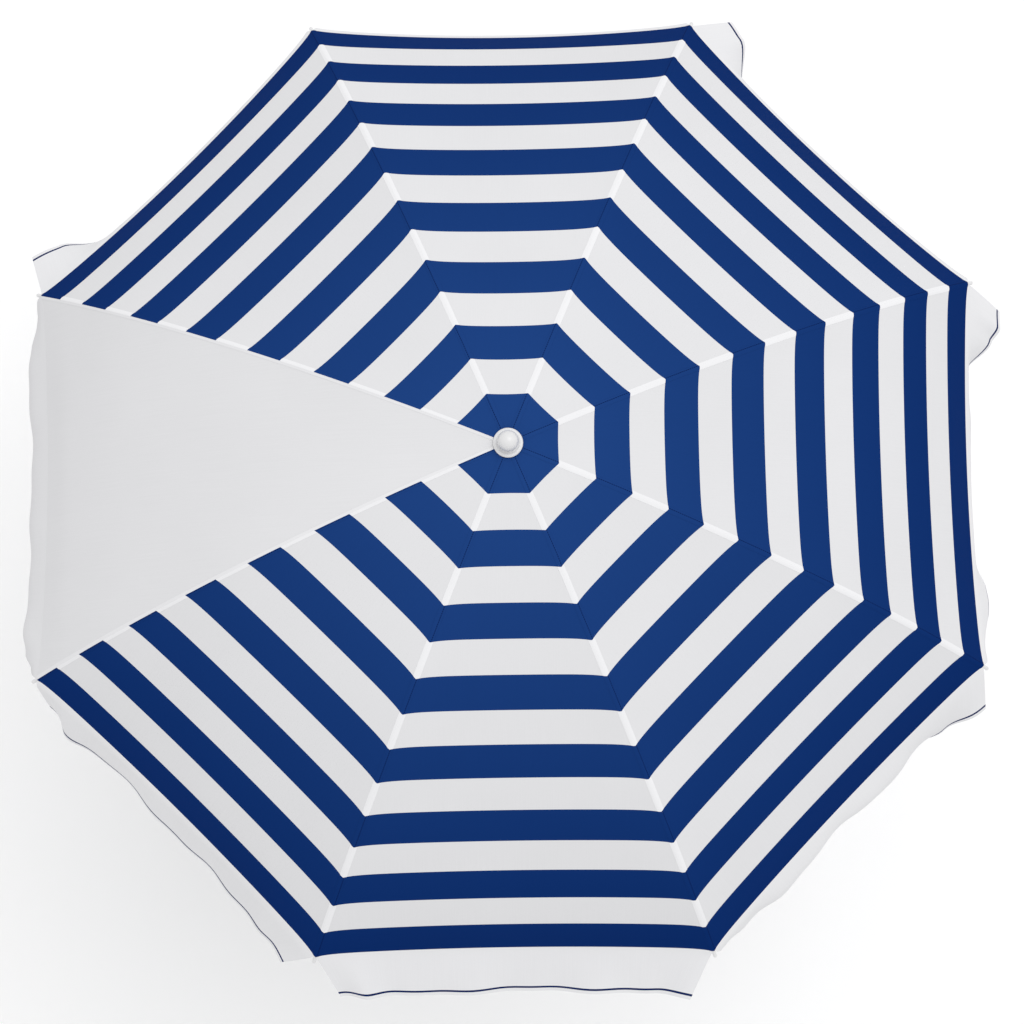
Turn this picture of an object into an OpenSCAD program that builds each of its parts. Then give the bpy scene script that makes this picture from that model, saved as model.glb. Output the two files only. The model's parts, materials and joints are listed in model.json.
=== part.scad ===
// Beach umbrella: eight ribs, a striped canopy with a valance, a tilting two-part pole.
// Millimetres, +Z up. The origin is on the pole's axis, at the lower end of its straight tube.

/* [Canopy] */
// Number of ribs and of canopy panels
rib_count = 8; // [8:1:8]
// Length of a rib along its curve, from the pole's axis to its tip
rib_len = 900; // [850:10:950]
// Angle that the open rib's arc turns through, in degrees
dome_angle = 46; // [40:1:50]
// Height of the canopy's apex above the origin
apex_z = 1900; // [1850:10:2000]
// Length of the canopy's cloth along a rib, from the axis to the hem
hem_len = 882; // [840:1:890]
// Width of the valance that hangs from the hem
valance_w = 85; // [60:5:100]
// Thickness of the canopy's solid stand-in
cloth_t = 1.2; // [1:0.1:2]

/* [Ribs and stretchers] */
// Distance along the rib from the axis to its knuckle
knuckle_len = 350; // [330:5:380]
// Radius of the rib and stretcher rods
rod_r = 2; // [1.5:0.1:2]
// Depth of the stretcher's rivet below the rib's centre line
rivet_drop = 7; // [7:0.5:9]
// Drop of the open runner's hinge ring below the apex
runner_drop = 230; // [200:5:260]
// Radius of the crown's ring wire
crown_ring_r = 17; // [17:0.5:18]
// Radius of the runner's ring wire
runner_ring_r = 20; // [20:0.5:22]

/* [Pole] */
// Outer radius of the canopy pole and of the shaft
pole_r = 11; // [11:0.5:11]
// Outer radius of the ground pole
ground_r = 12.5; // [12.5:0.1:12.5]
// Wall thickness of the steel tubes
tube_t = 1.2; // [1:0.1:1.2]
// Length of the ground pole
ground_len = 850; // [700:10:900]
// Height of the tilt pivot above the origin
tilt_z = 1095; // [1080:5:1100]
// Length of the shaft inside the ground pole at rest
shaft_in = 250; // [200:10:400]
// Length of the ground spike's point
spike_len = 70; // [50:5:100]

/* [Hidden] */

step = 360 / rib_count;
half = step / 2;
dome_r = rib_len / (dome_angle * PI / 180);
fit = 0.06;          // radial running clearance of a bore on its pin
gap = 0.3;           // clearance beside a part that moves
wire_r = 1;          // ring wires and rivets
eye_r = 2.8;         // flattened eyes at the rods' ends
eye_w = 3.4;         // width of an eye
slot_w = 4.6;        // slot that a rod swings in
cheek_w = 6.4;       // width over the knuckle's cheeks
cheek_back = 12;     // from the knuckle's pivot to the back of its cheeks
cheek_len = 16;
cheek_low = rivet_drop + 3.4;
cheek_up = 2.6;      // the cheeks stand this far above the rib's centre line
pole_in = pole_r - tube_t;
ground_in = ground_r - tube_t;
hub_r = 22;
hub_top = apex_z + 3;
hub_low = apex_z - 14;
neck_r = 13.5;
neck_low = apex_z - 46;
pole_top = apex_z - 16;
runner_z = apex_z - runner_drop;
runner_r = 25;
runner_h = 12;       // height of the notched disc
sleeve_r = 14;
sleeve_drop = 50;    // from the hinge ring to the sleeve's lower end
grip_r = 17;
grip_h = 8;
latch_drop = 32;     // from the hinge ring to the latch's axis
latch_r = 3.5;
latch_boss_r = 6;
latch_reach = 22;    // from the pole's axis to the latch boss's face
collar_low = ground_len - 30;
collar_top = ground_len + 20;
collar_r = 16;
pin_len = collar_low - 5;
spike_r = ground_r - 0.3;
screw_z = ground_len - 15;
screw_r = 3;
boss_r = 8;          // boss on the collar, and the screw's head
boss_reach = 24;     // from the pole's axis to the boss's face
head_t = 7;
wing_w = 30;         // width over the screw's two wings
wing_t = 4;
wing_h = 14;
tilt_body_r = 12.5;
tilt_reach = 25;     // from the pivot to the solid part of the yoke and of the tongue
tilt_body_h = 20;
plug_h = 30;
tongue_t = 9;
ear_gap = tongue_t + 2 * gap;
yoke_top_r = 12;
pin_r = 4;
pin_head_r = 5.2;    // the pin's riveted heads pass above the button
pin_head_t = 1.6;
button_drop = 8;     // the button's axis lies this far below the pivot
button_r = 2.4;
flange_r = 22;       // the finial's flange
ball_r = 16;
ball_up = 14;        // from the flange's seat to the ball's centre
cloth_low = 4.2;     // from the rib's centre line to the cloth's inner face
cloth_hole = 12;     // the cloth starts this far from the axis
panel_gap = 0.4;     // each panel stops this far short of the rib's plane
corner_gap = 3.8;    // from the hem down, it stops this far short of it, clear of the tip
tip_r = 3;           // radius of a rib's end cap
neck_r_less = 0.2;   // the ground pole is drawn in by this much under its collar
across = 8;          // steps of a panel's mesh from rib to rib
along = 12;          // steps of a panel's mesh from the hole to the hem
flap_rings = 3;      // steps of the valance's mesh

// ---- shapes of the open rib ----
function arc_deg(s) = s / dome_r * 180 / PI;
function rib_x(s) = dome_r * sin(arc_deg(s));
function rib_z(s) = apex_z - dome_r * (1 - cos(arc_deg(s)));
// A point at a distance in or out from the rib's centre line, as [x, z]
function rib_at(s, out) =
    [rib_x(s) + out * sin(arc_deg(s)), rib_z(s) + out * cos(arc_deg(s))];

knuckle = rib_at(knuckle_len, 0);
rivet = rib_at(knuckle_len, -rivet_drop);
crown_eye = rib_at(crown_ring_r, 0);
runner_eye = [runner_ring_r, runner_z];

// ---- helpers ----
module at_rib(i) {
    rotate([0, 0, half + (i - 1) * step]) children();
}

// A cylinder across the rib's plane, centred on [x, z]
module across_pin(at, r, w) {
    translate([at[0], 0, at[1]]) rotate([90, 0, 0]) cylinder(r = r, h = w, center = true, $fn = 48);
}

// Turns a shape drawn along +X so that it runs along the rib at a given length
module on_rib(s, out = 0) {
    p = rib_at(s, out);
    translate([p[0], 0, p[1]]) rotate([0, arc_deg(s), 0]) children();
}

// A round rod that follows the rib's arc between two lengths
module arc_rod(s0, s1, r) {
    translate([0, 0, apex_z - dome_r]) rotate([90, 0, 0])
        rotate([0, 0, 90 - arc_deg(s1)])
            rotate_extrude(angle = arc_deg(s1) - arc_deg(s0), $fn = 720)
                translate([dome_r, 0]) circle(r = r, $fn = 32);
}

// Eight straight lengths of wire around the pole, joined at rounded corners
module ring_wire(ring_r, z, r) {
    side = 2 * ring_r * tan(half);
    for (i = [1:rib_count]) {
        at_rib(i) translate([ring_r, 0, z]) rotate([90, 0, 0])
            cylinder(r = r, h = side, center = true, $fn = 48);
        at_rib(i) rotate([0, 0, half]) translate([ring_r / cos(half), 0, z])
            sphere(r = r + 0.05, $fn = 48);
    }
}

// Notches that the rods swing in, and the groove that takes the ring wire
module ring_notches(ring_r, z, low, high, out_r) {
    for (i = [1:rib_count]) at_rib(i)
        translate([ring_r - eye_r - gap, -slot_w / 2, low]) cube([out_r, slot_w, high - low]);
    translate([0, 0, z - wire_r - 0.1]) rotate_extrude($fn = 96)
        translate([ring_r - wire_r - 0.1, 0]) square([out_r, 2 * wire_r + 0.2]);
}

module tube(r, inner, low, high) {
    difference() {
        translate([0, 0, low]) cylinder(r = r, h = high - low, $fn = 96);
        translate([0, 0, low - 1]) cylinder(r = inner, h = high - low + 2, $fn = 96);
    }
}

// ---- pole ----
module ground_spike() {
    color("white") {
        translate([0, 0, -spike_len])
            rotate_extrude($fn = 96) polygon([
                [0, 0], [2, 2], [spike_r, spike_len - 14], [spike_r, spike_len],
                [ground_in - 0.1, spike_len], [ground_in - 0.1, spike_len + plug_h], [0, spike_len + plug_h]]);
    }
}

module ground_pole() {
    color("white") difference() {
        union() {
            tube(ground_r, ground_in, 0, pin_len);
            tube(ground_r - neck_r_less, ground_in, pin_len - 1, ground_len);
        }
        translate([0, 0, screw_z]) rotate([0, 90, 0]) cylinder(r = screw_r + 0.4, h = 20, $fn = 48);
    }
}

module pole_collar() {
    color("white") difference() {
        union() {
            translate([0, 0, collar_low]) cylinder(r = collar_r, h = collar_top - collar_low, $fn = 96);
            translate([0, 0, screw_z]) rotate([0, 90, 0]) cylinder(r = boss_r, h = boss_reach, $fn = 64);
        }
        translate([0, 0, collar_low - 1]) cylinder(r = ground_r - neck_r_less + 0.02, h = ground_len - collar_low + 1, $fn = 96);
        cylinder(r = pole_r + fit, h = collar_top + 1, $fn = 96);
        translate([0, 0, screw_z]) rotate([0, 90, 0]) cylinder(r = screw_r + fit, h = boss_reach + 6, $fn = 48);
    }
}

module clamp_screw() {
    color("white") translate([0, 0, screw_z]) rotate([0, 90, 0]) {
        translate([0, 0, pole_r + 0.1]) cylinder(r = screw_r, h = boss_reach + 1 - pole_r, $fn = 48);
        translate([0, 0, boss_reach + 0.5]) cylinder(r = boss_r, h = head_t, $fn = 64);
        // two wings to turn it by
        translate([-wing_w / 2, -wing_t / 2, boss_reach + 2]) cube([wing_w, wing_t, wing_h]);
    }
}

module shaft() {
    color("white") tube(pole_r, pole_in, ground_len - shaft_in, tilt_z - tilt_reach - tilt_body_h);
}

module tilt_yoke() {
    low = tilt_z - tilt_reach - tilt_body_h;
    color("white") difference() {
        union() {
            translate([0, 0, low]) cylinder(r = tilt_body_r, h = tilt_body_h, $fn = 96);
            translate([0, 0, low - plug_h]) cylinder(r = pole_in - 0.1, h = plug_h, $fn = 96);
            // ears, rounded over the pivot
            intersection() {
                translate([0, 0, low]) cylinder(r = tilt_body_r, h = 80, $fn = 96);
                union() {
                    translate([-yoke_top_r, -20, low]) cube([2 * yoke_top_r, 40, tilt_z - low]);
                    translate([0, 0, tilt_z]) rotate([90, 0, 0])
                        cylinder(r = yoke_top_r, h = 40, center = true, $fn = 96);
                }
            }
        }
        translate([-20, -ear_gap / 2, tilt_z - tilt_reach]) cube([40, ear_gap, 60]);
        translate([0, 0, tilt_z]) rotate([90, 0, 0]) cylinder(r = pin_r + 0.02, h = 40, center = true, $fn = 64);
        translate([0, 0, tilt_z - button_drop]) rotate([-90, 0, 0]) cylinder(r = button_r + fit, h = 20, $fn = 48);
    }
}

module tilt_tongue() {
    high = tilt_z + tilt_reach + tilt_body_h;
    color("white") difference() {
        union() {
            translate([0, 0, tilt_z + tilt_reach]) cylinder(r = tilt_body_r, h = tilt_body_h, $fn = 96);
            translate([0, 0, high]) cylinder(r = pole_in - 0.1, h = plug_h, $fn = 96);
            translate([-9, -tongue_t / 2, tilt_z]) cube([18, tongue_t, tilt_reach + 1]);
            translate([0, 0, tilt_z]) rotate([90, 0, 0]) cylinder(r = 12, h = tongue_t, center = true, $fn = 96);
        }
        translate([0, 0, tilt_z]) rotate([90, 0, 0]) cylinder(r = pin_r + fit, h = 40, center = true, $fn = 64);
        // ring groove that the button's nose enters at any tilt
        translate([0, tongue_t / 2 - 3.5, tilt_z]) rotate([-90, 0, 0]) difference() {
            cylinder(r = button_drop + button_r + gap, h = 10, $fn = 96);
            translate([0, 0, -1]) cylinder(r = button_drop - button_r - gap, h = 12, $fn = 96);
        }
    }
}

module tilt_pin() {
    color("silver") translate([0, 0, tilt_z]) rotate([90, 0, 0]) {
        cylinder(r = pin_r, h = 2 * tilt_body_r + 2, center = true, $fn = 64);
        for (side = [-1, 1]) translate([0, 0, side * (tilt_body_r + pin_head_t / 2)])
            cylinder(r = pin_head_r, h = pin_head_t, center = true, $fn = 64);
    }
}

module tilt_button() {
    color("white") translate([0, 0, tilt_z - button_drop]) rotate([-90, 0, 0]) {
        translate([0, 0, ear_gap / 2]) cylinder(r = button_r, h = 10.5, $fn = 48);
    }
}

module canopy_pole() {
    color("white") tube(pole_r, pole_in, tilt_z + tilt_reach + tilt_body_h, pole_top);
}

// ---- runner and crown ----
module runner() {
    color("white") difference() {
        union() {
            translate([0, 0, runner_z - runner_h / 2]) cylinder(r = runner_r, h = runner_h, $fn = 96);
            translate([0, 0, runner_z - sleeve_drop]) cylinder(r = sleeve_r, h = sleeve_drop + runner_h, $fn = 96);
            // grip ring at the foot
            translate([0, 0, runner_z - sleeve_drop - grip_h / 2]) cylinder(r = grip_r, h = grip_h, $fn = 96);
            translate([0, 0, runner_z - latch_drop]) rotate([0, 90, 0])
                cylinder(r = latch_boss_r, h = latch_reach, $fn = 64);
        }
        translate([0, 0, runner_z - sleeve_drop - 10]) cylinder(r = pole_r + fit, h = 80, $fn = 96);
        ring_notches(runner_ring_r, runner_z, runner_z - runner_h / 2 - 1, runner_z + runner_h / 2 + 1, 20);
        translate([0, 0, runner_z - latch_drop]) rotate([0, 90, 0])
            cylinder(r = latch_r + fit, h = latch_reach + 8, $fn = 48);
    }
}

module runner_wire() {
    color("silver") ring_wire(runner_ring_r, runner_z, wire_r);
}

module runner_latch() {
    color("white") translate([0, 0, runner_z - latch_drop]) rotate([0, 90, 0]) {
        translate([0, 0, pole_r + 0.2]) cylinder(r = latch_r, h = 14, $fn = 48);
        translate([0, 0, latch_reach + 0.5]) cylinder(r = latch_boss_r, h = 5, $fn = 64);
    }
}

module crown_hub() {
    color("white") difference() {
        union() {
            translate([0, 0, hub_low]) cylinder(r = hub_r, h = hub_top - hub_low, $fn = 96);
            translate([0, 0, neck_low]) cylinder(r = neck_r, h = hub_low - neck_low + 1, $fn = 96);
            // boss that the finial presses on, through the cloth's hole
            translate([0, 0, hub_top]) cylinder(r = 6, h = 6, $fn = 64);
        }
        translate([0, 0, neck_low - 1]) cylinder(r = pole_r + 0.02, h = pole_top - neck_low + 1, $fn = 96);
        ring_notches(crown_ring_r, crown_eye[1], hub_low - 1, hub_top + 1, 20);
    }
}

module crown_wire() {
    color("silver") ring_wire(crown_ring_r, crown_eye[1], wire_r);
}

module finial() {
    seat = apex_z + cloth_low + cloth_t + 0.3;
    color("white") difference() {
        union() {
            translate([0, 0, seat]) cylinder(r = flange_r, h = 3, $fn = 96);
            translate([0, 0, seat + 2.5]) cylinder(r1 = flange_r - 3, r2 = ball_r - 2, h = 6, $fn = 96);
            translate([0, 0, seat + ball_up]) sphere(r = ball_r, $fn = 96);
            translate([0, 0, hub_top]) cylinder(r = 9, h = seat - hub_top + 1, $fn = 96);
        }
        translate([0, 0, hub_top - 1]) cylinder(r = 6.1, h = 8, $fn = 64);
    }
}

// ---- ribs ----
// The inner rib: a rod with an eye on the crown's wire and a riveted knuckle at its outer end
module rib(i) {
    color("gainsboro") at_rib(i) difference() {
        union() {
            arc_rod(crown_ring_r, knuckle_len - 7, rod_r);
            across_pin(crown_eye, eye_r, eye_w);
            difference() {
                on_rib(knuckle_len) translate([-cheek_back, -cheek_w / 2, -cheek_low])
                    cube([cheek_len, cheek_w, cheek_low + cheek_up]);
                // room between the cheeks for the two eyes and their rods
                on_rib(knuckle_len) translate([-3.2, -(eye_w + 0.6) / 2, -20]) cube([20, eye_w + 0.6, 30]);
                on_rib(knuckle_len) translate([-20, -(rod_r * 2 + 0.4) / 2, -20])
                    cube([40, rod_r * 2 + 0.4, 20 - rod_r - 1.6]);
            }
            across_pin(knuckle, wire_r, cheek_w + 1.2);
            across_pin(rivet, wire_r, cheek_w + 1.2);
        }
        across_pin(crown_eye, wire_r + fit, 10);
    }
}

// The outer rib rod, springy in use, hinged here at the knuckle
module rib_rod(i) {
    color("gainsboro") at_rib(i) difference() {
        union() {
            arc_rod(knuckle_len, rib_len - 14, rod_r - 0.3);
            across_pin(knuckle, eye_r - 0.2, eye_w);
        }
        across_pin(knuckle, wire_r + fit, 10);
    }
}

module rib_tip(i) {
    color("white") at_rib(i) difference() {
        union() {
            arc_rod(rib_len - 32, rib_len - tip_r, tip_r);
            on_rib(rib_len - tip_r) sphere(r = tip_r, $fn = 48);
        }
        arc_rod(rib_len - 34, rib_len - 14, rod_r - 0.3);
    }
}

module stretcher(i) {
    run = runner_eye - rivet;
    length = norm(run);
    slope = atan2(run[1], run[0]);
    color("gainsboro") at_rib(i) difference() {
        union() {
            translate([rivet[0], 0, rivet[1]]) rotate([0, -slope, 0]) rotate([0, 90, 0])
                cylinder(r = rod_r - 0.1, h = length, $fn = 48);
            across_pin(rivet, eye_r - 0.2, eye_w);
            across_pin(runner_eye, eye_r, eye_w);
        }
        across_pin(rivet, wire_r + fit, 10);
        across_pin(runner_eye, wire_r + fit, 10);
    }
}

// ---- canopy ----
plain_panel = 4;     // the one panel without stripes
// The valance leans out from the hem by an angle that differs from panel to panel
lean = [15, 5, 15, 8, 25, 55, 20, 15];

// A point of panel i's inner or outer face: v is 0 to 1 along the rib, t is -1 to 1 across
function sheet(v, t, out) =
    let (s = cloth_hole + v * (hem_len - cloth_hole), u = s / rib_len, slack = 1 - t * t)
    [rib_x(s) * cos(half) - (1 + 8 * u * u) * slack + out * sin(arc_deg(s)),
     rib_x(s) * sin(half) * t,
     rib_z(s) - 11.5 * u * slack + out * cos(arc_deg(s))];

// A point of the valance: w is 0 to 1 down from the hem
function flap(i, w, t, out) =
    let (h = sheet(1, t, 0), a = lean[i - 1], drop = w * valance_w)
    [h[0] + drop * sin(a) + out * (sin(dome_angle) * (1 - w) + cos(a) * w),
     h[1] * (1 + 0.08 * w * sin(a)),
     h[2] - drop * cos(a) + out * (cos(dome_angle) * (1 - w) + sin(a) * w)];

function row(i, k, t, out) =
    k <= along ? sheet(k / along, t, out) : flap(i, (k - along) / flap_rings, t, out);

// Holds a point back from the planes of the panel's two ribs
function trim(p, clear) =
    let (edge = abs(p[0]) * tan(half) - clear) [p[0], min(max(p[1], -edge), edge), p[2]];

module canopy_panel(i) {
    rows = along + flap_rings;
    wide = across + 1;
    face_pts = [for (out = [cloth_low, cloth_low + cloth_t]) for (k = [0:rows]) for (j = [0:across])
        trim(row(i, k, 2 * j / across - 1, out), k < along ? panel_gap : corner_gap)];
    top = wide * (rows + 1);
    function at(layer, k, j) = layer * top + k * wide + j;
    skins = [for (k = [0:rows - 1]) for (j = [0:across - 1]) each [
        [at(0, k, j), at(0, k + 1, j), at(0, k + 1, j + 1)],
        [at(0, k, j), at(0, k + 1, j + 1), at(0, k, j + 1)],
        [at(1, k, j), at(1, k + 1, j + 1), at(1, k + 1, j)],
        [at(1, k, j), at(1, k, j + 1), at(1, k + 1, j + 1)]]];
    sides = [for (k = [0:rows - 1]) each [
        [at(0, k, 0), at(1, k + 1, 0), at(0, k + 1, 0)],
        [at(0, k, 0), at(1, k, 0), at(1, k + 1, 0)],
        [at(0, k, across), at(0, k + 1, across), at(1, k + 1, across)],
        [at(0, k, across), at(1, k + 1, across), at(1, k, across)]]];
    ends = [for (j = [0:across - 1]) each [
        [at(0, 0, j), at(0, 0, j + 1), at(1, 0, j + 1)],
        [at(0, 0, j), at(1, 0, j + 1), at(1, 0, j)],
        [at(0, rows, j), at(1, rows, j + 1), at(0, rows, j + 1)],
        [at(0, rows, j), at(1, rows, j), at(1, rows, j + 1)]]];
    color(i == plain_panel ? "whitesmoke" : "navy") rotate([0, 0, i * step])
        polyhedron(points = face_pts, faces = concat(skins, sides, ends), convexity = 6);
}

ground_spike();
ground_pole();
pole_collar();
clamp_screw();
shaft();
tilt_yoke();
tilt_tongue();
tilt_pin();
tilt_button();
canopy_pole();
runner();
runner_wire();
runner_latch();
crown_hub();
crown_wire();
finial();
for (i = [1:rib_count]) {
    rib(i);
    rib_rod(i);
    rib_tip(i);
    stretcher(i);
    canopy_panel(i);
}
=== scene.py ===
"""Beach umbrella: its cloth, finial, finishes, light and camera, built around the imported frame."""

import json
import logging
import math
from dataclasses import dataclass, field
from enum import Enum
from typing import Callable, Optional, Sequence, Union

import bmesh
import bpy
from mathutils import Matrix, Vector

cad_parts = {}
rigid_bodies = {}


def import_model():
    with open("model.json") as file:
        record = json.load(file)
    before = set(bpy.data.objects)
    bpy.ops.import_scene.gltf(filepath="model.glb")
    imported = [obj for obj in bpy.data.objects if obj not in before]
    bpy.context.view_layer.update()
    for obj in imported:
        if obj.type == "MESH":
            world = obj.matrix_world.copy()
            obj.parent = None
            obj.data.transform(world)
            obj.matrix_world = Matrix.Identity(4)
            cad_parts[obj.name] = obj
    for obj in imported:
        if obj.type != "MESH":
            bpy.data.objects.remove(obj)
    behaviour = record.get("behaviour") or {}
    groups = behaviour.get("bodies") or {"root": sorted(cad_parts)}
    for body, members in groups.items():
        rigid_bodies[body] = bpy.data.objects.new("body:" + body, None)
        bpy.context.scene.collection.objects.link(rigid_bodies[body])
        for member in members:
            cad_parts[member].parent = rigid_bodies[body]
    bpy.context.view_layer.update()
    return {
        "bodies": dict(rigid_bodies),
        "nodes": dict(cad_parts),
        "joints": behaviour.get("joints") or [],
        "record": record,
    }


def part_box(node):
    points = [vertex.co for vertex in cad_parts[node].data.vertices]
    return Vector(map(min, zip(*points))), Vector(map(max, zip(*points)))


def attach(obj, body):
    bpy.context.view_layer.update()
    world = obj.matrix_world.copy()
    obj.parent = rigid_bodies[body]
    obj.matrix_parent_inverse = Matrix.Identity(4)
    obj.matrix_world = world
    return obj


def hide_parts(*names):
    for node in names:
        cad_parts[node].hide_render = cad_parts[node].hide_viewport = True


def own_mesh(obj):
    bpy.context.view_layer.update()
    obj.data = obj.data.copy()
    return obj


LOG = logging.getLogger("umbrella")
MM = 0.001
RIBS = 8
STEP = 2 * math.pi / RIBS
HALF = STEP / 2
PLAIN_PANEL = 4
PIPING_AT = 0.0775
CROWN_RISE = 16 * MM
FINIAL_TALL = 30 * MM

Value = Union[float, tuple, "Sock"]


class Side(Enum):
    """Which rib a half of a canopy panel is gathered to."""

    NEAR = -1
    FAR = 1


class Zone(Enum):
    """The stretch of a rib that a piece of cloth lies on."""

    INNER = "inner"
    OUTER = "outer"


# ---------------------------------------------------------------- shader maths


class Sock:
    """A shader socket that Python's operators join into Math nodes."""

    def __init__(self, graph: "Graph", socket: bpy.types.NodeSocket) -> None:
        """Wraps a socket. Args: graph: its graph; socket: it."""
        self.graph = graph
        self.socket = socket

    def _math(self, kind: str, *values: Value) -> "Sock":
        """Adds a Math node. Args: kind: its operation; values: its inputs. Returns: its output."""
        return self.graph.add("ShaderNodeMath", {"operation": kind}, dict(enumerate(values)))

    def __add__(self, other: Value) -> "Sock":
        """Sum. Args: other: what is added. Returns: the sum."""
        return self._math("ADD", self, other)

    __radd__ = __add__

    def __sub__(self, other: Value) -> "Sock":
        """Difference. Args: other: what is taken away. Returns: the difference."""
        return self._math("SUBTRACT", self, other)

    def __rsub__(self, other: Value) -> "Sock":
        """Reflected difference. Args: other: what this is taken from. Returns: the difference."""
        return self._math("SUBTRACT", other, self)

    def __mul__(self, other: Value) -> "Sock":
        """Product. Args: other: the factor. Returns: the product."""
        return self._math("MULTIPLY", self, other)

    __rmul__ = __mul__

    def __truediv__(self, other: Value) -> "Sock":
        """Quotient. Args: other: the divisor. Returns: the quotient."""
        return self._math("DIVIDE", self, other)

    def __mod__(self, other: Value) -> "Sock":
        """Remainder, from 0 up, whatever the sign. Args: other: the divisor. Returns: the remainder."""
        return self._math("FLOORED_MODULO", self, other)

    def __gt__(self, other: Value) -> "Sock":
        """1 where this is the greater, else 0. Args: other: the value compared. Returns: 0 or 1."""
        return self._math("GREATER_THAN", self, other)

    def __lt__(self, other: Value) -> "Sock":
        """1 where this is the smaller, else 0. Args: other: the value compared. Returns: 0 or 1."""
        return self._math("LESS_THAN", self, other)

    def __abs__(self) -> "Sock":
        """Size without sign. Returns: it."""
        return self._math("ABSOLUTE", self)

    def wave(self, pitch: float) -> "Sock":
        """A sine of this length. Args: pitch: metres from crest to crest. Returns: -1 to 1."""
        return self._math("SINE", self * (2 * math.pi / pitch))


class Graph:
    """The node tree of one material."""

    def __init__(self, name: str) -> None:
        """Makes a material with a bare surface shader. Args: name: its name."""
        self.material = bpy.data.materials.new(name)
        self.material.use_nodes = True
        self.tree = self.material.node_tree
        self.shader = next(n for n in self.tree.nodes if n.type == "BSDF_PRINCIPLED")

    def add(self, kind: str, settings: dict, inputs: dict, out: Union[int, str] = 0) -> Sock:
        """Adds any node.

        Args:
            kind: the node's type.
            settings: its properties, set before its inputs.
            inputs: values or links, by socket name or number.
            out: the output to give back.

        Returns:
            The chosen output.
        """
        node = self.tree.nodes.new(kind)
        for key, value in settings.items():
            setattr(node, key, value)
        for key, value in inputs.items():
            self.put(node.inputs[key], value)
        return Sock(self, node.outputs[out])

    def put(self, socket: bpy.types.NodeSocket, value: Value) -> None:
        """Gives a socket a value or a link. Args: socket: the input; value: what goes in."""
        if isinstance(value, Sock):
            self.tree.links.new(value.socket, socket)
        else:
            socket.default_value = value

    def set(self, **inputs: Value) -> None:
        """Sets the shader's sockets by name, with _ for a space. Args: inputs: values or links."""
        for key, value in inputs.items():
            self.put(self.shader.inputs[key.replace("_", " ")], value)

    def mix(self, share: Value, low: Value, high: Value) -> Sock:
        """Blends two colours. Args: share: 0 to 1; low, high: the colours. Returns: the blend."""
        return self.add("ShaderNodeMix", {"data_type": "RGBA"}, {0: share, 6: low, 7: high}, 2)

    def uv(self) -> tuple["Sock", "Sock"]:
        """The cloth's own coordinates. Returns: metres across and metres along."""
        place = self.add("ShaderNodeUVMap", {"uv_map": "cloth"}, {})
        split = self.add("ShaderNodeSeparateXYZ", {}, {0: place})
        return split, Sock(self, split.socket.node.outputs[1])

    def stretched(self, layer: str, scale: tuple) -> Sock:
        """Scaled coordinates. Args: layer: a UV map, or "" for Object; scale: times. Returns: them."""
        source = self.add("ShaderNodeUVMap", {"uv_map": layer}, {}) if layer else self.place()
        return self.add("ShaderNodeMapping", {}, {"Vector": source, "Scale": scale})

    def place(self) -> Sock:
        """Object coordinates. Returns: the vector."""
        return self.add("ShaderNodeTexCoord", {}, {}, "Object")

    def noise(self, scale: float, detail: float = 2.0, at: Optional[Sock] = None) -> Sock:
        """Soft noise.

        Args:
            scale: how fine it is, in features per metre.
            detail: how many finer octaves it has.
            at: where it is read, or Object coordinates.

        Returns:
            A value around 0.5.
        """
        where = at or self.place()
        return self.add("ShaderNodeTexNoise", {}, {"Vector": where, "Scale": scale, "Detail": detail})

    def bump(self, height: Value, strength: float, distance: float) -> Sock:
        """Bump. Args: height: the relief; strength, distance: how much. Returns: a normal."""
        sizes = {"Strength": strength, "Distance": distance, "Height": height}
        return self.add("ShaderNodeBump", {}, sizes)


def rgb(red: int, green: int, blue: int) -> tuple:
    """A colour from screen values.

    Args:
        red: 0 to 255.
        green: 0 to 255.
        blue: 0 to 255.

    Returns:
        Linear red, green and blue, and 1.
    """
    def linear(value: int) -> float:
        """One channel. Args: value: 0 to 255. Returns: 0 to 1."""
        share = value / 255
        return share / 12.92 if share <= 0.04045 else ((share + 0.055) / 1.055) ** 2.4

    return (linear(red), linear(green), linear(blue), 1.0)


# ---------------------------------------------------------------- finishes


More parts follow.
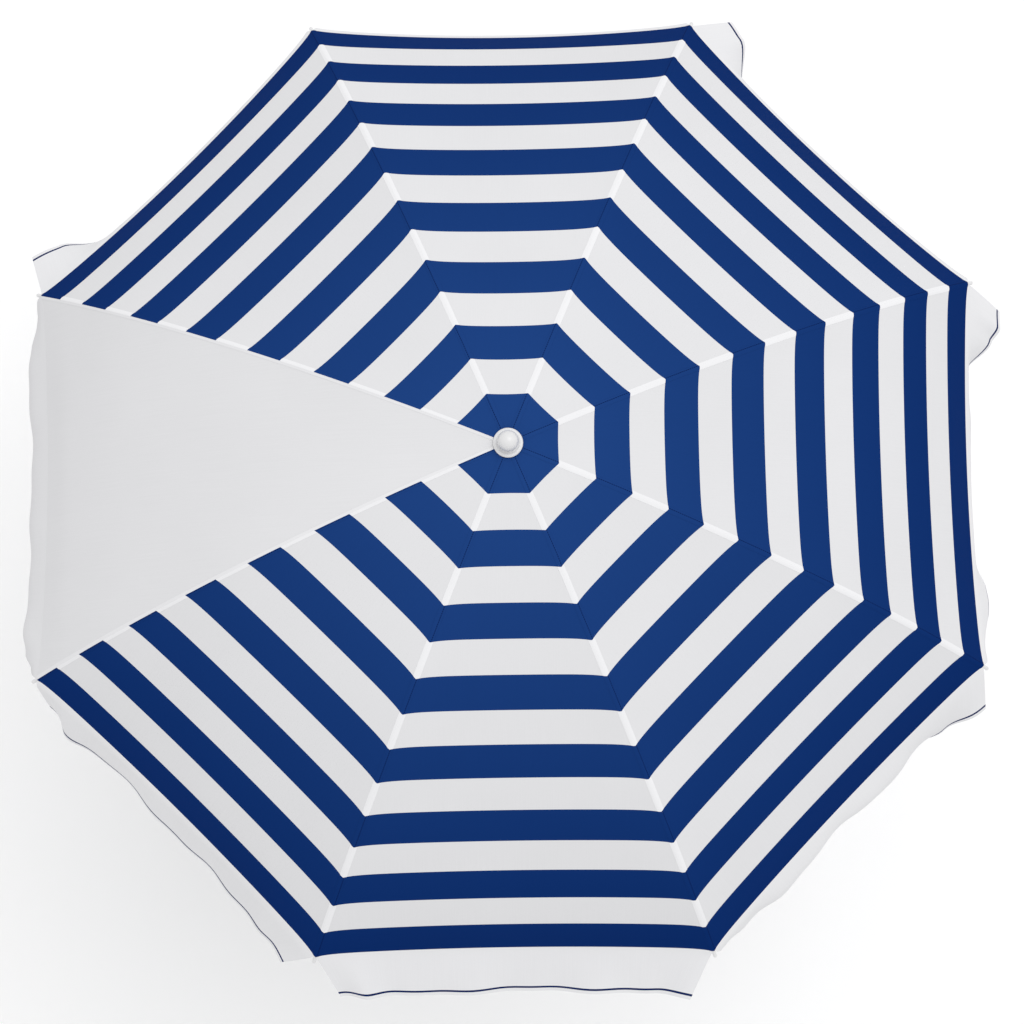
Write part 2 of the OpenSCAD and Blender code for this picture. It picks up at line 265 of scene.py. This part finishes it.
@dataclass(frozen=True)
class Cloth:
    """Woven polyester, plain or printed with stripes that run across the ribs."""

    name: str
    white: tuple = rgb(219, 219, 221)
    navy: tuple = rgb(6, 40, 99)
    # painted sheen: a lighter navy for the cloth near the crown, standing in for light on the up-facing
    # cloth
    sheen_lit_navy: tuple = rgb(30, 65, 126)
    seam_light: tuple = rgb(232, 232, 234)
    stitch: tuple = rgb(3, 16, 62)
    piping: tuple = rgb(16, 34, 84)
    striped: bool = False
    piping_at: float = 0.0
    stitched: bool = False
    first: float = 0.079
    stripe: float = 0.0575
    hem: float = 0.882
    thread: float = 0.9 * MM
    piping_half: float = 1.8 * MM
    dash_pitch: float = 3.4 * MM
    dash_gap: float = 1.1 * MM
    row_at: float = 1.4 * MM
    row_half: float = 0.7 * MM
    tape_half: float = 4.0 * MM

    def make(self) -> bpy.types.Material:
        """Builds the material. Returns: it."""
        graph = Graph(self.name)
        across, along = graph.uv()
        soft = graph.noise(5.0, 3.0)
        fine = graph.noise(420.0, 2.0)
        weave = across.wave(self.thread) * 0.5 + along.wave(self.thread) * 0.5
        colour: Value = self.white
        height = weave * 0.5 + fine * 0.6
        if self.striped:
            band = ((along - self.first) / (2 * self.stripe)) % 1.0
            # painted light and shade: the navy is lighter near the crown and darker towards the hem, as if
            # light fell on the cloth's slope
            navy_with_painted_sheen = graph.mix(along / self.hem, self.sheen_lit_navy, self.navy)
            colour = graph.mix(band > 0.5, self.white, navy_with_painted_sheen)
        if self.piping_at:
            line = abs(along - self.piping_at) < self.piping_half
            colour = graph.mix(line, self.white, self.piping)
        if self.stitched:
            dash = (along % self.dash_pitch) > self.dash_gap
            row = (abs(across - self.row_at) < self.row_half) * dash
            if self.striped:
                colour = graph.mix(band > 0.5, self.seam_light, colour)
                colour = graph.mix(row * (band > 0.5) * 0.8, colour, self.stitch)
            else:
                colour = graph.mix((abs(across) < self.tape_half) * 0.45, colour, self.seam_light)
                colour = graph.mix(row * 0.04, colour, self.stitch)
            height = height - row * 1.5
        slub = graph.noise(1.0, 2.0, graph.stretched("cloth", (700.0, 9.0, 1.0)))
        shade = 0.93 + soft * 0.07 + fine * 0.02 + slub * 0.05
        tint = graph.add("ShaderNodeCombineColor", {}, {0: shade, 1: shade, 2: shade})
        colour = graph.add("ShaderNodeMix", {"data_type": "RGBA", "blend_type": "MULTIPLY"},
                           {0: 1.0, 6: colour, 7: tint}, 2)
        graph.set(Base_Color=colour, Roughness=0.74 + fine * 0.12,
                  Normal=graph.bump(height, 0.25, 0.15 * MM))
        graph.set(Specular_IOR_Level=0.02)
        return graph.material


@dataclass(frozen=True)
class Plastic:
    """Moulded white plastic with a faint orange-peel skin."""

    name: str
    colour: tuple = rgb(222, 222, 223)
    scuffed: tuple = rgb(206, 206, 204)
    gloss: float = 0.3

    def make(self) -> bpy.types.Material:
        """Builds the material. Returns: it."""
        graph = Graph(self.name)
        skin = graph.noise(900.0, 2.0)
        scuff = graph.noise(60.0, 4.0)
        shade = graph.mix(scuff * 0.12, self.colour, self.scuffed)
        graph.set(Base_Color=shade, Roughness=self.gloss + scuff * 0.12,
                  Normal=graph.bump(skin, 0.12, 0.1 * MM))
        graph.set(Coat_Weight=0.15, Coat_Roughness=0.2)
        return graph.material


@dataclass(frozen=True)
class Paint:
    """White powder coat on a steel tube, with fine scratches along it."""

    name: str
    colour: tuple = rgb(232, 232, 230)
    scratched: tuple = rgb(180, 180, 178)

    def make(self) -> bpy.types.Material:
        """Builds the material. Returns: it."""
        graph = Graph(self.name)
        grain = graph.noise(700.0, 3.0)
        scratch = graph.noise(1.0, 3.0, graph.stretched("", (900.0, 900.0, 18.0)))
        worn = (scratch > 0.72) * 0.25
        shade = graph.mix(worn, self.colour, self.scratched)
        graph.set(Base_Color=shade, Roughness=0.36 + grain * 0.15,
                  Normal=graph.bump(grain, 0.1, 0.1 * MM))
        graph.set(Coat_Weight=0.2, Coat_Roughness=0.25)
        return graph.material


@dataclass(frozen=True)
class Steel:
    """Zinc-plated steel with drawn marks along it."""

    name: str
    colour: tuple = rgb(186, 188, 190)
    dull: tuple = rgb(140, 143, 146)

    def make(self) -> bpy.types.Material:
        """Builds the material. Returns: it."""
        graph = Graph(self.name)
        cloud = graph.noise(140.0, 4.0)
        fine = graph.noise(1500.0, 2.0)
        shade = graph.mix(cloud * 0.5, self.colour, self.dull)
        graph.set(Base_Color=shade, Roughness=0.28 + cloud * 0.2, Metallic=0.9,
                  Normal=graph.bump(fine, 0.08, 0.05 * MM))
        return graph.material


# ---------------------------------------------------------------- the open canopy's shape


def smooth(share: float) -> float:
    """Eases 0 to 1. Args: share: any number. Returns: 0 to 1 with level ends."""
    share = min(max(share, 0.0), 1.0)
    return share * share * (3 - 2 * share)


def spline(points: Sequence[tuple[float, float]], at: float) -> float:
    """Eases between points. Args: points: (place, value) in order; at: the place. Returns: a value."""
    if at <= points[0][0]:
        return points[0][1]
    for (x0, y0), (x1, y1) in zip(points, points[1:]):
        if at <= x1:
            return y0 + (y1 - y0) * smooth((at - x0) / (x1 - x0))
    return points[-1][1]


@dataclass
class Dome:
    """The open canopy's surface: arcs over the ribs, and slack cloth between them."""

    apex: float
    rib_len: float = 0.9
    turn: float = math.radians(46)
    knuckle: float = 0.35
    hem: float = 0.882
    hole: float = 0.013
    lift: float = 3.6 * MM
    pull_base: float = 3.5
    pull_hem: float = 2.5
    pull_reach: float = 18 * MM
    inward: float = 1.0
    inward_hem: float = 5.5
    sag: float = 11.5 * MM
    hem_sag: float = 14 * MM
    hem_sag_from: float = 0.81
    hem_sag_over: float = 0.08
    area_steps: int = 200

    @property
    def radius(self) -> float:
        """Radius of a rib's arc. Returns: metres."""
        return self.rib_len / self.turn

    def rib_point(self, panel: int, side: Side, length: float, out: float) -> Vector:
        """A point on the rib beside a panel.

        Args:
            panel: the panel's number.
            side: which of its two ribs.
            length: metres along the rib from the axis.
            out: metres out from the rib's centre line.

        Returns:
            The point.
        """
        angle = panel * STEP + side.value * HALF
        bend = length / self.radius
        level = (self.radius + out) * math.sin(bend)
        rise = self.apex - self.radius + (self.radius + out) * math.cos(bend)
        return Vector((level * math.cos(angle), level * math.sin(angle), rise))

    def half_width(self, length: float) -> float:
        """Half of the straight distance between two ribs. Args: length: along the rib. Returns: metres."""
        return self.radius * math.sin(length / self.radius) * math.sin(HALF)

    def cut_area(self, low: float, high: float) -> float:
        """The area of half a panel's flat cut, between two lengths along its rib.

        Args:
            low: where along the rib it starts.
            high: where along the rib it ends.

        Returns:
            Square metres.
        """
        total = 0.0
        for step in range(self.area_steps):
            length = low + (high - low) * (step + 0.5) / self.area_steps
            bend = length / self.radius
            level = math.cos(bend) * math.cos(HALF)
            total += self.half_width(length) * math.hypot(level, math.sin(bend))
        return total * (high - low) / self.area_steps

    def point(self, panel: int, length: float, share: float, out: float) -> Vector:
        """A point of the cloth.

        Args:
            panel: the panel's number.
            length: metres along the rib from the axis.
            share: -1 at the near rib to 1 at the far one.
            out: metres out from the ribs' centre lines.

        Returns:
            The point.
        """
        grown = length / self.rib_len
        from_rib = (1 - abs(share)) * self.half_width(length)
        eased = 1 - math.exp(-from_rib / self.pull_reach)
        pull = (self.pull_base + self.pull_hem * grown ** 6) * MM * eased
        length = length - pull * min(1.0, grown * 3)
        bend = length / self.radius
        slack = 1 - share * share
        level = self.radius * math.sin(bend)
        inward = self.inward * grown + self.inward_hem * grown ** 2
        ahead = level * math.cos(HALF) - inward * MM * slack
        late = smooth((length - self.hem_sag_from) / self.hem_sag_over)
        droop = self.sag * grown * slack + self.hem_sag * late * slack
        up = self.apex - self.radius * (1 - math.cos(bend)) - droop
        ahead += out * math.sin(bend)
        up += out * math.cos(bend)
        spread = level * math.sin(HALF) * share
        turn = Matrix.Rotation(panel * STEP, 3, "Z")
        return turn @ Vector((ahead, spread, up))


@dataclass
class Piece:
    """One finished piece of cloth, before it is given to the frame."""

    name: str
    rows: int
    columns: int
    shape: Callable[[float, float], Vector]
    cloth: Callable[[float, float], tuple[float, float]]
    material: bpy.types.Material
    thick: float = 0.5 * MM

    def make(self) -> bpy.types.Object:
        """Bends a flat grid into the piece. Returns: the object."""
        mesh = bmesh.new()
        bmesh.ops.create_grid(mesh, x_segments=self.columns, y_segments=self.rows, size=0.5)
        layer = mesh.loops.layers.uv.new("cloth")
        for face in mesh.faces:
            face.smooth = True
            for loop in face.loops:
                loop[layer].uv = self.cloth(loop.vert.co.x + 0.5, loop.vert.co.y + 0.5)
        for vert in mesh.verts:
            vert.co = self.shape(vert.co.x + 0.5, vert.co.y + 0.5)
        for edge in mesh.edges:
            edge.smooth = not edge.is_boundary
        data = bpy.data.meshes.new(self.name)
        mesh.to_mesh(data)
        mesh.free()
        obj = bpy.data.objects.new(self.name, data)
        bpy.context.scene.collection.objects.link(obj)
        data.materials.append(self.material)
        solid = obj.modifiers.new("thickness", "SOLIDIFY")
        solid.thickness = self.thick
        solid.offset = 0.0
        return obj


@dataclass
class Canopy:
    """Eight panels of cloth, each in two halves that gather to their ribs as the umbrella folds."""

    dome: Dome
    striped: bpy.types.Material
    plain: bpy.types.Material
    edged: bpy.types.Material
    plain_edged: bpy.types.Material
    bound_striped: bpy.types.Material
    bound_plain: bpy.types.Material
    valance: float = 0.085
    taper: float = 0.034
    keep: dict = field(default_factory=lambda: {Zone.INNER: 0.13, Zone.OUTER: 0.09})
    bind_half: float = 5.0 * MM
    bind_from: float = 0.023
    bind_proud: float = 0.42 * MM
    bind_crown: float = 0.25 * MM
    crowd: float = 1.5
    hem_slope: float = 47
    pieces: list = field(default_factory=list)

    #: Each panel's valance: (place from the near rib to the far one, upper lean, lower lean), in degrees
    LEANS = {
        1: [(-1, 8, 0), (0.5, 4, 0), (0.62, 12, 4), (0.88, 52, 50), (1, 56, 54)],
        2: [(-1, 4, -4), (0, 2, -6), (1, 4, -4)],
        3: [(-1, 4, 0), (0.3, 4, 0), (0.45, 12, 6), (0.8, 46, 44), (1, 56, 54)],
        4: [(-1, 10, 0), (-0.8, 38, -2), (-0.6, 46, -8), (0, 43, -8), (0.8, 44, -6), (0.94, 36, 0),
            (1, 16, 4)],
        5: [(-1, 12, 10), (-0.8, 27, 24), (-0.4, 20, 16), (0, 24, 22), (0.5, 26, 24), (1, 34, 34)],
        6: [(-1, 46, 48), (-0.8, 58, 60), (-0.4, 62, 56), (0.1, 57, 54), (0.5, 60, 58), (1, 60, 62)],
        7: [(-1, 4, 0), (-0.85, 18, -8), (-0.5, 38, -14), (-0.1, 32, -14), (0.2, 44, -12), (0.5, 34, -10),
            (0.68, 30, 16), (1, 36, 36)],
        8: [(-1, 10, 4), (-0.75, 26, 16), (-0.56, 22, 12), (-0.42, 6, 4), (-0.13, 5, 2), (0.1, 12, -4),
            (0.32, 16, -6), (0.45, 6, 0), (0.6, 8, 6), (0.8, 38, 34), (0.9, 50, 46), (1, 50, 46)],
    }

    def ridden(self, panel: int, side: Side) -> int:
        """The rib that a half is gathered to. Args: panel, side: the half. Returns: its number."""
        return panel if side is Side.NEAR else panel % RIBS + 1

    def across(self, side: Side, share: float) -> float:
        """Crowds a grid's columns at the rib.

        Args:
            side: which half of the panel it is.
            share: 0 at the rib to 1 at the panel's middle.

        Returns:
            -1 at the near rib to 1 at the far one.
        """
        return side.value * (1 - share ** self.crowd)

    def gather(self, obj: bpy.types.Object, panel: int, side: Side, low: float, high: float) -> None:
        """Works out the rib's direction and points along it, which nothing uses, and gives a half its own
        copy of its mesh data.

        Args:
            obj: the piece.
            panel: its panel's number.
            side: which half of the panel it is.
            low: where along the rib it starts.
            high: where along the rib it ends.
        """
        dome = self.dome
        mid = (low + high) / 2
        along = dome.rib_point(panel, side, mid + 0.01, 0) - dome.rib_point(panel, side, mid, 0)
        along.normalize()
        other = Side.FAR if side is Side.NEAR else Side.NEAR
        over = dome.rib_point(panel, other, mid, 0) - dome.rib_point(panel, side, mid, 0)
        start, middle, end = (dome.rib_point(panel, side, at, dome.lift) for at in (low, mid, high))
        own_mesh(obj)

    def give(self, obj: bpy.types.Object, panel: int, side: Side, zone: Zone) -> None:
        """Args: obj, panel, side, zone: the piece."""
        rib = self.ridden(panel, side)
        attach(obj, f"rib_{rib}" if zone is Zone.INNER else f"rod_{rib}")
        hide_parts(f"canopy_panel_{panel}")
        self.pieces.append(obj)

    def half(self, panel: int, side: Side, zone: Zone) -> None:
        """Makes one zone of one half of a panel. Args: panel, side, zone: which."""
        dome = self.dome
        low, high = (dome.hole, dome.knuckle) if zone is Zone.INNER else (dome.knuckle, dome.hem)
        span = high - low

        def shape(right: float, up: float) -> Vector:
            """Where a grid point goes. Args: right, up: 0 to 1. Returns: the point."""
            return dome.point(panel, low + span * up, self.across(side, right), dome.lift)

        def cloth(right: float, up: float) -> tuple[float, float]:
            """Its place on the flat cut. Args: right, up: 0 to 1. Returns: metres across, along."""
            length = low + span * up
            return self.across(side, right) * dome.half_width(length), length

        name = f"canopy_{panel}_{side.name.lower()}_{zone.value}"
        material = self.plain if panel == PLAIN_PANEL else self.striped
        obj = Piece(name, max(8, round(span / 0.011)), 22, shape, cloth, material).make()
        self.point_out(obj)
        self.give(obj, panel, side, zone)
        self.gather(obj, panel, side, low, high)
        dome.half_width(high)
        dome.cut_area(low, high)

    def point_out(self, obj: bpy.types.Object) -> None:
        """Turns a sheet's faces to the sky where they point down. Args: obj: the sheet."""
        rise = sum(face.normal.z * face.area for face in obj.data.polygons)
        if rise < 0:
            obj.data.flip_normals()

    def flap(self, panel: int, side: Side) -> None:
        """Makes half of a panel's valance. Args: panel, side: which."""
        dome = self.dome
        steps = 10
        turn = Matrix.Rotation(panel * STEP, 3, "Z")

        def shape(right: float, up: float) -> Vector:
            """Hangs a point from the hem. Args: right, up: 0 to 1. Returns: the point."""
            share = self.across(side, right)
            start = dome.point(panel, dome.hem, share, dome.lift)
            upper = spline([(place, high) for place, high, _ in self.LEANS[panel]], share)
            lower = spline([(place, low) for place, _, low in self.LEANS[panel]], share)
            wave = 2.4 * math.sin(9.5 * share + 1.7 * panel) + 1.4 * math.sin(21 * share + panel)
            wave *= smooth((upper - 8) / 20)
            drop, ahead = 0.0, 0.0
            for step in range(steps):
                here = (step + 0.5) / steps * up
                leans = [(0, self.hem_slope), (0.24, upper + wave), (1, lower + wave)]
                angle = math.radians(spline(leans, here))
                ahead += math.sin(angle) * up * self.valance / steps
                drop += math.cos(angle) * up * self.valance / steps
            edge = smooth((abs(share) - 0.55) / 0.45)
            sideways = -math.copysign(self.taper * up * edge, share)
            return start + turn @ Vector((ahead, sideways, -drop))

        def cloth(right: float, up: float) -> tuple[float, float]:
            """Its place on the flat cut. Args: right, up: 0 to 1. Returns: metres across, down."""
            return self.across(side, right) * dome.half_width(dome.hem), up * self.valance

        name = f"valance_{panel}_{side.name.lower()}"
        material = self.plain_edged if panel == PLAIN_PANEL else self.edged
        obj = Piece(name, 14, 40, shape, cloth, material, 0.6 * MM).make()
        self.give(obj, panel, side, Zone.OUTER)
        self.gather(obj, panel, side, dome.hem - 0.01, dome.hem)
        wide = dome.half_width(dome.hem)
        area = (wide - self.taper / 2) * self.valance

    def binding(self, rib: int, zone: Zone) -> None:
        """Makes the stitched tape over a seam. Args: rib: its number; zone: which stretch."""
        dome = self.dome
        low, high = (self.bind_from, dome.knuckle) if zone is Zone.INNER else (dome.knuckle, dome.hem)
        before = (rib - 2) % RIBS + 1

        def shape(right: float, up: float) -> Vector:
            """Lays a point over the seam. Args: right, up: 0 to 1. Returns: the point."""
            length = low + (high - low) * up
            off = (right * 2 - 1) * self.bind_half
            share = 1 - abs(off) / dome.half_width(length)
            proud = dome.lift + self.bind_proud + self.bind_crown * (1 - (right * 2 - 1) ** 2)
            panel, place = (rib, -share) if off >= 0 else (before, share)
            return dome.point(panel, length, place, proud)

        def cloth(right: float, up: float) -> tuple[float, float]:
            """Its place on the flat cut. Args: right, up: 0 to 1. Returns: metres across, along."""
            return (right * 2 - 1) * self.bind_half, low + (high - low) * up

        name = f"seam_{rib}_{zone.value}"
        rows = round((high - low) / 0.009)
        obj = Piece(name, rows, 6, shape, cloth, self.bound_striped, 0.25 * MM).make()
        obj.data.materials.append(self.bound_plain)
        plain_side = {PLAIN_PANEL: 1, PLAIN_PANEL + 1: -1}.get(rib, 0)
        layer = obj.data.uv_layers["cloth"].data
        for face in obj.data.polygons:
            middle = sum(layer[k].uv.x for k in face.loop_indices)
            if plain_side * middle > 0:
                face.material_index = 1
        self.point_out(obj)
        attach(obj, f"rib_{rib}" if zone is Zone.INNER else f"rod_{rib}")
        wide = 2 * self.bind_half
        high - low
        wide * (high - low)
        self.pieces.append(obj)

    def make(self) -> None:
        """Makes all the cloth."""
        for panel in range(1, RIBS + 1):
            for side in Side:
                for zone in Zone:
                    self.half(panel, side, zone)
                self.flap(panel, side)
            for zone in Zone:
                self.binding(panel, zone)
            LOG.info("panel %d: %d pieces of cloth so far", panel, len(self.pieces))


# ---------------------------------------------------------------- finial and fittings


@dataclass
class Finial:
    """The white ball on a round flange that clamps the cloth at the top."""

    seat: float
    material: bpy.types.Material
    flange: float = 21.8 * MM
    ball: float = 15.5 * MM
    up: float = 17 * MM
    arc_from: float = -46
    arc_steps: int = 14

    def make(self) -> bpy.types.Object:
        """Spins the finial's outline. Returns: the object."""
        outline = [(0.0085, -0.004), (self.flange - 0.0008, 0.0), (self.flange, 0.0008),
                   (self.flange, 0.0021), (self.flange - 0.0012, 0.0031), (0.0176, 0.0036),
                   (0.0160, 0.0030), (0.0125, 0.0032), (0.0108, 0.0052)]
        for step in range(self.arc_steps + 1):
            angle = math.radians(self.arc_from + (90 - self.arc_from) * step / self.arc_steps)
            outline.append((self.ball * math.cos(angle), self.up + self.ball * math.sin(angle)))
        mesh = bmesh.new()
        verts = [mesh.verts.new((max(out, 0.0), 0.0, self.seat + up)) for out, up in outline]
        edges = [mesh.edges.new(pair) for pair in zip(verts, verts[1:])]
        bmesh.ops.spin(mesh, geom=verts + edges, cent=(0, 0, 0), axis=(0, 0, 1), dvec=(0, 0, 0),
                       angle=2 * math.pi, steps=72, use_merge=True, use_duplicate=False)
        bmesh.ops.remove_doubles(mesh, verts=mesh.verts, dist=1e-6)
        open_edges = [edge for edge in mesh.edges if edge.is_boundary]
        bmesh.ops.holes_fill(mesh, edges=open_edges, sides=0)
        bmesh.ops.recalc_face_normals(mesh, faces=mesh.faces)
        for face in mesh.faces:
            face.smooth = len(face.verts) <= 4
        data = bpy.data.meshes.new("finial_cap")
        mesh.to_mesh(data)
        mesh.free()
        obj = bpy.data.objects.new("finial_cap", data)
        bpy.context.scene.collection.objects.link(obj)
        data.materials.append(self.material)
        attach(obj, "canopy_pole")
        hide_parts("finial")
        return obj


@dataclass
class Fittings:
    """The carried-over poles, hubs, ribs and screws, which only need their finishes."""

    by_slot: dict

    def dress(self, frame: dict) -> None:
        """Gives each CAD node the finish of its slot. Args: frame: the loaded frame."""
        slots = {row["node"]: row["material_slot"] for row in frame["record"]["subparts"]}
        for name, obj in frame["nodes"].items():
            material = self.by_slot.get(slots.get(name))
            if material is None:
                continue
            obj.data.materials.clear()
            obj.data.materials.append(material)
            LOG.info("%s: %s", name, material.name)


# ---------------------------------------------------------------- stage


@dataclass
class Studio:
    """A pale floor, even light and the camera over the canopy."""

    apex: float
    foot: float
    elevation: float = math.radians(81.8)
    azimuth: float = math.radians(-1.94)
    roll: float = math.radians(1.13)
    distance: float = 3.78
    lens: float = 89.1
    aim: tuple = (0.005, -0.0805, -0.135)
    floor_half: float = 12
    sky: float = 0.82
    lamps: tuple = (("SUN", (0.9, 0.8, 3.6), 45, 0.8), ("AREA", (1.2, 0.9, 3.4), 0.7, 10))

    def camera(self) -> None:
        """Sets up the camera."""
        level = math.cos(self.elevation)
        back = Vector((math.sin(self.azimuth) * level, -math.cos(self.azimuth) * level,
                       math.sin(self.elevation)))
        right = Vector((math.cos(self.azimuth), math.sin(self.azimuth), 0))
        up = back.cross(right)
        turned_right = right * math.cos(self.roll) + up * math.sin(self.roll)
        turned_up = up * math.cos(self.roll) - right * math.sin(self.roll)
        aim = Vector(self.aim) + Vector((0, 0, self.apex))
        data = bpy.data.cameras.new("camera")
        data.lens = self.lens
        data.sensor_width = 36
        data.clip_end = 50
        obj = bpy.data.objects.new("camera", data)
        bpy.context.scene.collection.objects.link(obj)
        axes = Matrix((turned_right, turned_up, back)).transposed()
        obj.matrix_world = Matrix.Translation(aim + back * self.distance) @ axes.to_4x4()
        bpy.context.scene.camera = obj

    def floor(self) -> None:
        """Lays the floor."""
        mesh = bmesh.new()
        bmesh.ops.create_grid(mesh, x_segments=1, y_segments=1, size=self.floor_half,
                              matrix=Matrix.Translation((0, 0, self.foot)))
        data = bpy.data.meshes.new("floor")
        mesh.to_mesh(data)
        mesh.free()
        obj = bpy.data.objects.new("floor", data)
        bpy.context.scene.collection.objects.link(obj)
        graph = Graph("floor")
        graph.set(Base_Color=(0.98, 0.98, 0.98, 1), Roughness=0.9)
        data.materials.append(graph.material)

    def lamp(self, kind: str, at: tuple, softness: float, power: float) -> None:
        """Hangs a soft lamp that faces the canopy.

        Args:
            kind: SUN or AREA.
            at: its place, from the apex.
            softness: a sun's angle in degrees, or a disc's width in metres.
            power: its strength.
        """
        data = bpy.data.lights.new(kind.lower(), kind)
        if kind == "SUN":
            data.angle = math.radians(softness)
        else:
            data.shape = "DISK"
            data.size = softness
        data.energy = power
        obj = bpy.data.objects.new(kind.lower(), data)
        bpy.context.scene.collection.objects.link(obj)
        place = Vector(at) + Vector((0, 0, self.apex))
        turn = (-Vector(at)).to_track_quat("-Z", "Y").to_matrix().to_4x4()
        obj.matrix_world = Matrix.Translation(place) @ turn

    def make(self) -> None:
        """Builds the whole stage."""
        scene = bpy.context.scene
        scene.view_settings.view_transform = "Standard"
        world = bpy.data.worlds.new("studio")
        scene.world = world
        world.use_nodes = True
        back = next(n for n in world.node_tree.nodes if n.type == "BACKGROUND")
        back.inputs["Color"].default_value = (1, 1, 1, 1)
        back.inputs["Strength"].default_value = self.sky
        self.camera()
        self.floor()
        for kind, at, softness, power in self.lamps:
            self.lamp(kind, at, softness, power)


def main() -> None:
    """Builds the umbrella's looks, piece by piece."""
    logging.basicConfig(level=logging.INFO, format="%(name)s: %(message)s")
    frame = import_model()
    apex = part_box("canopy_pole")[1][2] + CROWN_RISE
    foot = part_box("ground_spike")[0][2]
    Studio(apex, foot).make()
    cloth = Cloth("striped_polyester", striped=True).make()
    canopy = Canopy(
        Dome(apex), cloth,
        Cloth("plain_polyester").make(),
        Cloth("piped_polyester", white=rgb(226, 226, 228), piping_at=PIPING_AT).make(),
        Cloth("plain_piped_polyester", piping_at=PIPING_AT).make(),
        Cloth("striped_seam", striped=True, stitched=True).make(),
        Cloth("plain_seam", stitched=True).make(),
    )
    canopy.make()
    plastic = Plastic("moulded_plastic").make()
    Finial(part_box("finial")[1][2] - FINIAL_TALL, plastic).make()
    Fittings({"white_plastic": plastic, "pole_paint": Paint("powder_coat").make(),
              "steel": Steel("zinc_steel").make()}).dress(frame)


if __name__ == "__main__":
    main()
